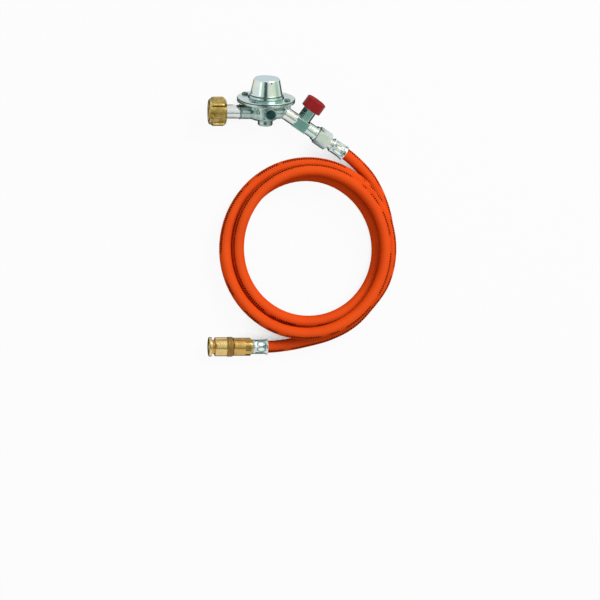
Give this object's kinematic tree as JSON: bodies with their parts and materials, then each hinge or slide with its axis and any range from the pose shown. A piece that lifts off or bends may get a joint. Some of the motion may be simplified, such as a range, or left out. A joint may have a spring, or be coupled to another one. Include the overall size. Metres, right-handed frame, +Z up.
{
  "type": "propane regulator hose",
  "caption": "Low-pressure propane regulator with hand nut, domed cover and red reset button, on a coiled orange hose that ends in a brass quick coupler.",
  "frame": {"origin": "centre of the hand nut's mouth, on the inlet axis", "axes": "+X along the inlet into the regulator, +Z up from the surface that the part lies on"},
  "size_m": [0.2099, 0.3121, 0.0635],
  "materials": {
    "nut_brass": "satin",
    "coupler_brass": "satin",
    "zinc_plate": "satin",
    "chrome": "polished",
    "cast_zinc": "satin",
    "spring_steel": "satin",
    "red_plastic": "gloss",
    "orange_rubber": "satin",
    "black_rubber": "matt"
  },
  "bodies": {
    "regulator_and_hose": {"inlet_stem": "chrome", "inlet_gasket": "black_rubber", "inlet_filter": "nut_brass", "stop_ring": "zinc_plate", "body_casting": "cast_zinc", "nozzle": "nut_brass", "lever_pin": "zinc_plate", "diaphragm": "black_rubber", "main_spring": "spring_steel", "adjusting_plug": "nut_brass", "cover": "zinc_plate", "dome_cap": "zinc_plate", "cover_screws": "zinc_plate", "port_plug": "cast_zinc", "outlet_tube": "chrome", "valve_block": "cast_zinc", "flow_spring": "spring_steel", "bonnet": "cast_zinc", "button_spring": "spring_steel", "hose_nipple": "chrome", "inlet_ferrule": "chrome", "hose_ends": "orange_rubber", "hose_lead": "orange_rubber", "hose_coil": "orange_rubber", "hose_tail": "orange_rubber", "coupler_ferrule": "chrome", "coupler_nipple": "chrome", "coupler_body": "coupler_brass", "coupler_lip": "coupler_brass", "sleeve_spring": "spring_steel", "locking_balls": "chrome", "poppet_spring": "spring_steel", "socket_ring": "black_rubber"},
    "nut_carrier": {"nut_washer": "zinc_plate"},
    "hand_nut": {"hand_nut": "nut_brass"},
    "diaphragm_stack": {"spring_plate": "zinc_plate", "diaphragm_pin": "zinc_plate"},
    "lever": {"lever": "zinc_plate"},
    "inlet_valve": {"valve_slide": "nut_brass", "valve_disc": "black_rubber"},
    "reset_button": {"red_button": "red_plastic", "button_pin": "chrome"},
    "flow_valve": {"flow_poppet": "nut_brass"},
    "union_nut": {"union_nut": "zinc_plate"},
    "lock_sleeve": {"coupler_sleeve": "coupler_brass"},
    "coupler_valve": {"coupler_poppet": "coupler_brass"}
  },
  "joints": [
    {"name": "nut_slide", "type": "slide", "parent": "regulator_and_hose", "child": "nut_carrier", "axis": [1, 0, 0], "range_m": [0, 0.0115]},
    {"name": "nut_spin", "type": "hinge", "parent": "nut_carrier", "child": "hand_nut", "pos_m": [0.0095, 0, 0], "axis": [1, 0, 0], "continuous": true},
    {"name": "diaphragm_slide", "type": "slide", "parent": "regulator_and_hose", "child": "diaphragm_stack", "axis": [0, 0.9636, 0.2672], "range_m": [-0.0014, 0.0008], "stiffness_N_per_m": 2000, "deforming": ["main_spring", "diaphragm"]},
    {"name": "lever_rock", "type": "hinge", "parent": "regulator_and_hose", "child": "lever", "pos_m": [0.071, 0.0079, 0.00219], "axis": [0, 0.2672, -0.9636], "range_deg": [-11, 6.5]},
    {"name": "inlet_valve_slide", "type": "slide", "parent": "regulator_and_hose", "child": "inlet_valve", "axis": [1, 0, 0], "range_m": [-0.00073, 0.00127]},
    {"name": "button_press", "type": "slide", "parent": "regulator_and_hose", "child": "reset_button", "axis": [-0.5592, -0.7989, -0.2216], "range_m": [0, 0.003], "stiffness_N_per_m": 600, "springref_m": -0.003, "deforming": ["button_spring"]},
    {"name": "flow_valve_slide", "type": "slide", "parent": "regulator_and_hose", "child": "flow_valve", "axis": [0.829, -0.5389, -0.1494], "range_m": [0, 0.0015], "stiffness_N_per_m": 150, "springref_m": -0.003, "deforming": ["flow_spring"]},
    {"name": "union_spin", "type": "hinge", "parent": "regulator_and_hose", "child": "union_nut", "pos_m": [0.12827, -0.0291, -0.00807], "axis": [0.829, -0.5389, -0.1494], "continuous": true},
    {"name": "sleeve_slide", "type": "slide", "parent": "regulator_and_hose", "child": "lock_sleeve", "axis": [1, 0, 0], "range_m": [-0.003, 0], "stiffness_N_per_m": 1200, "springref_m": 0.003, "deforming": ["sleeve_spring"]},
    {"name": "coupler_valve_slide", "type": "slide", "parent": "regulator_and_hose", "child": "coupler_valve", "axis": [1, 0, 0], "range_m": [0, 0.0025], "stiffness_N_per_m": 500, "springref_m": -0.003, "deforming": ["poppet_spring"]}
  ],
  "couplings": [
    {"joint": "lever_rock", "follows": "diaphragm_slide", "rad_per_m": 133.33},
    {"joint": "inlet_valve_slide", "follows": "diaphragm_slide", "ratio": -0.89333}
  ]
}
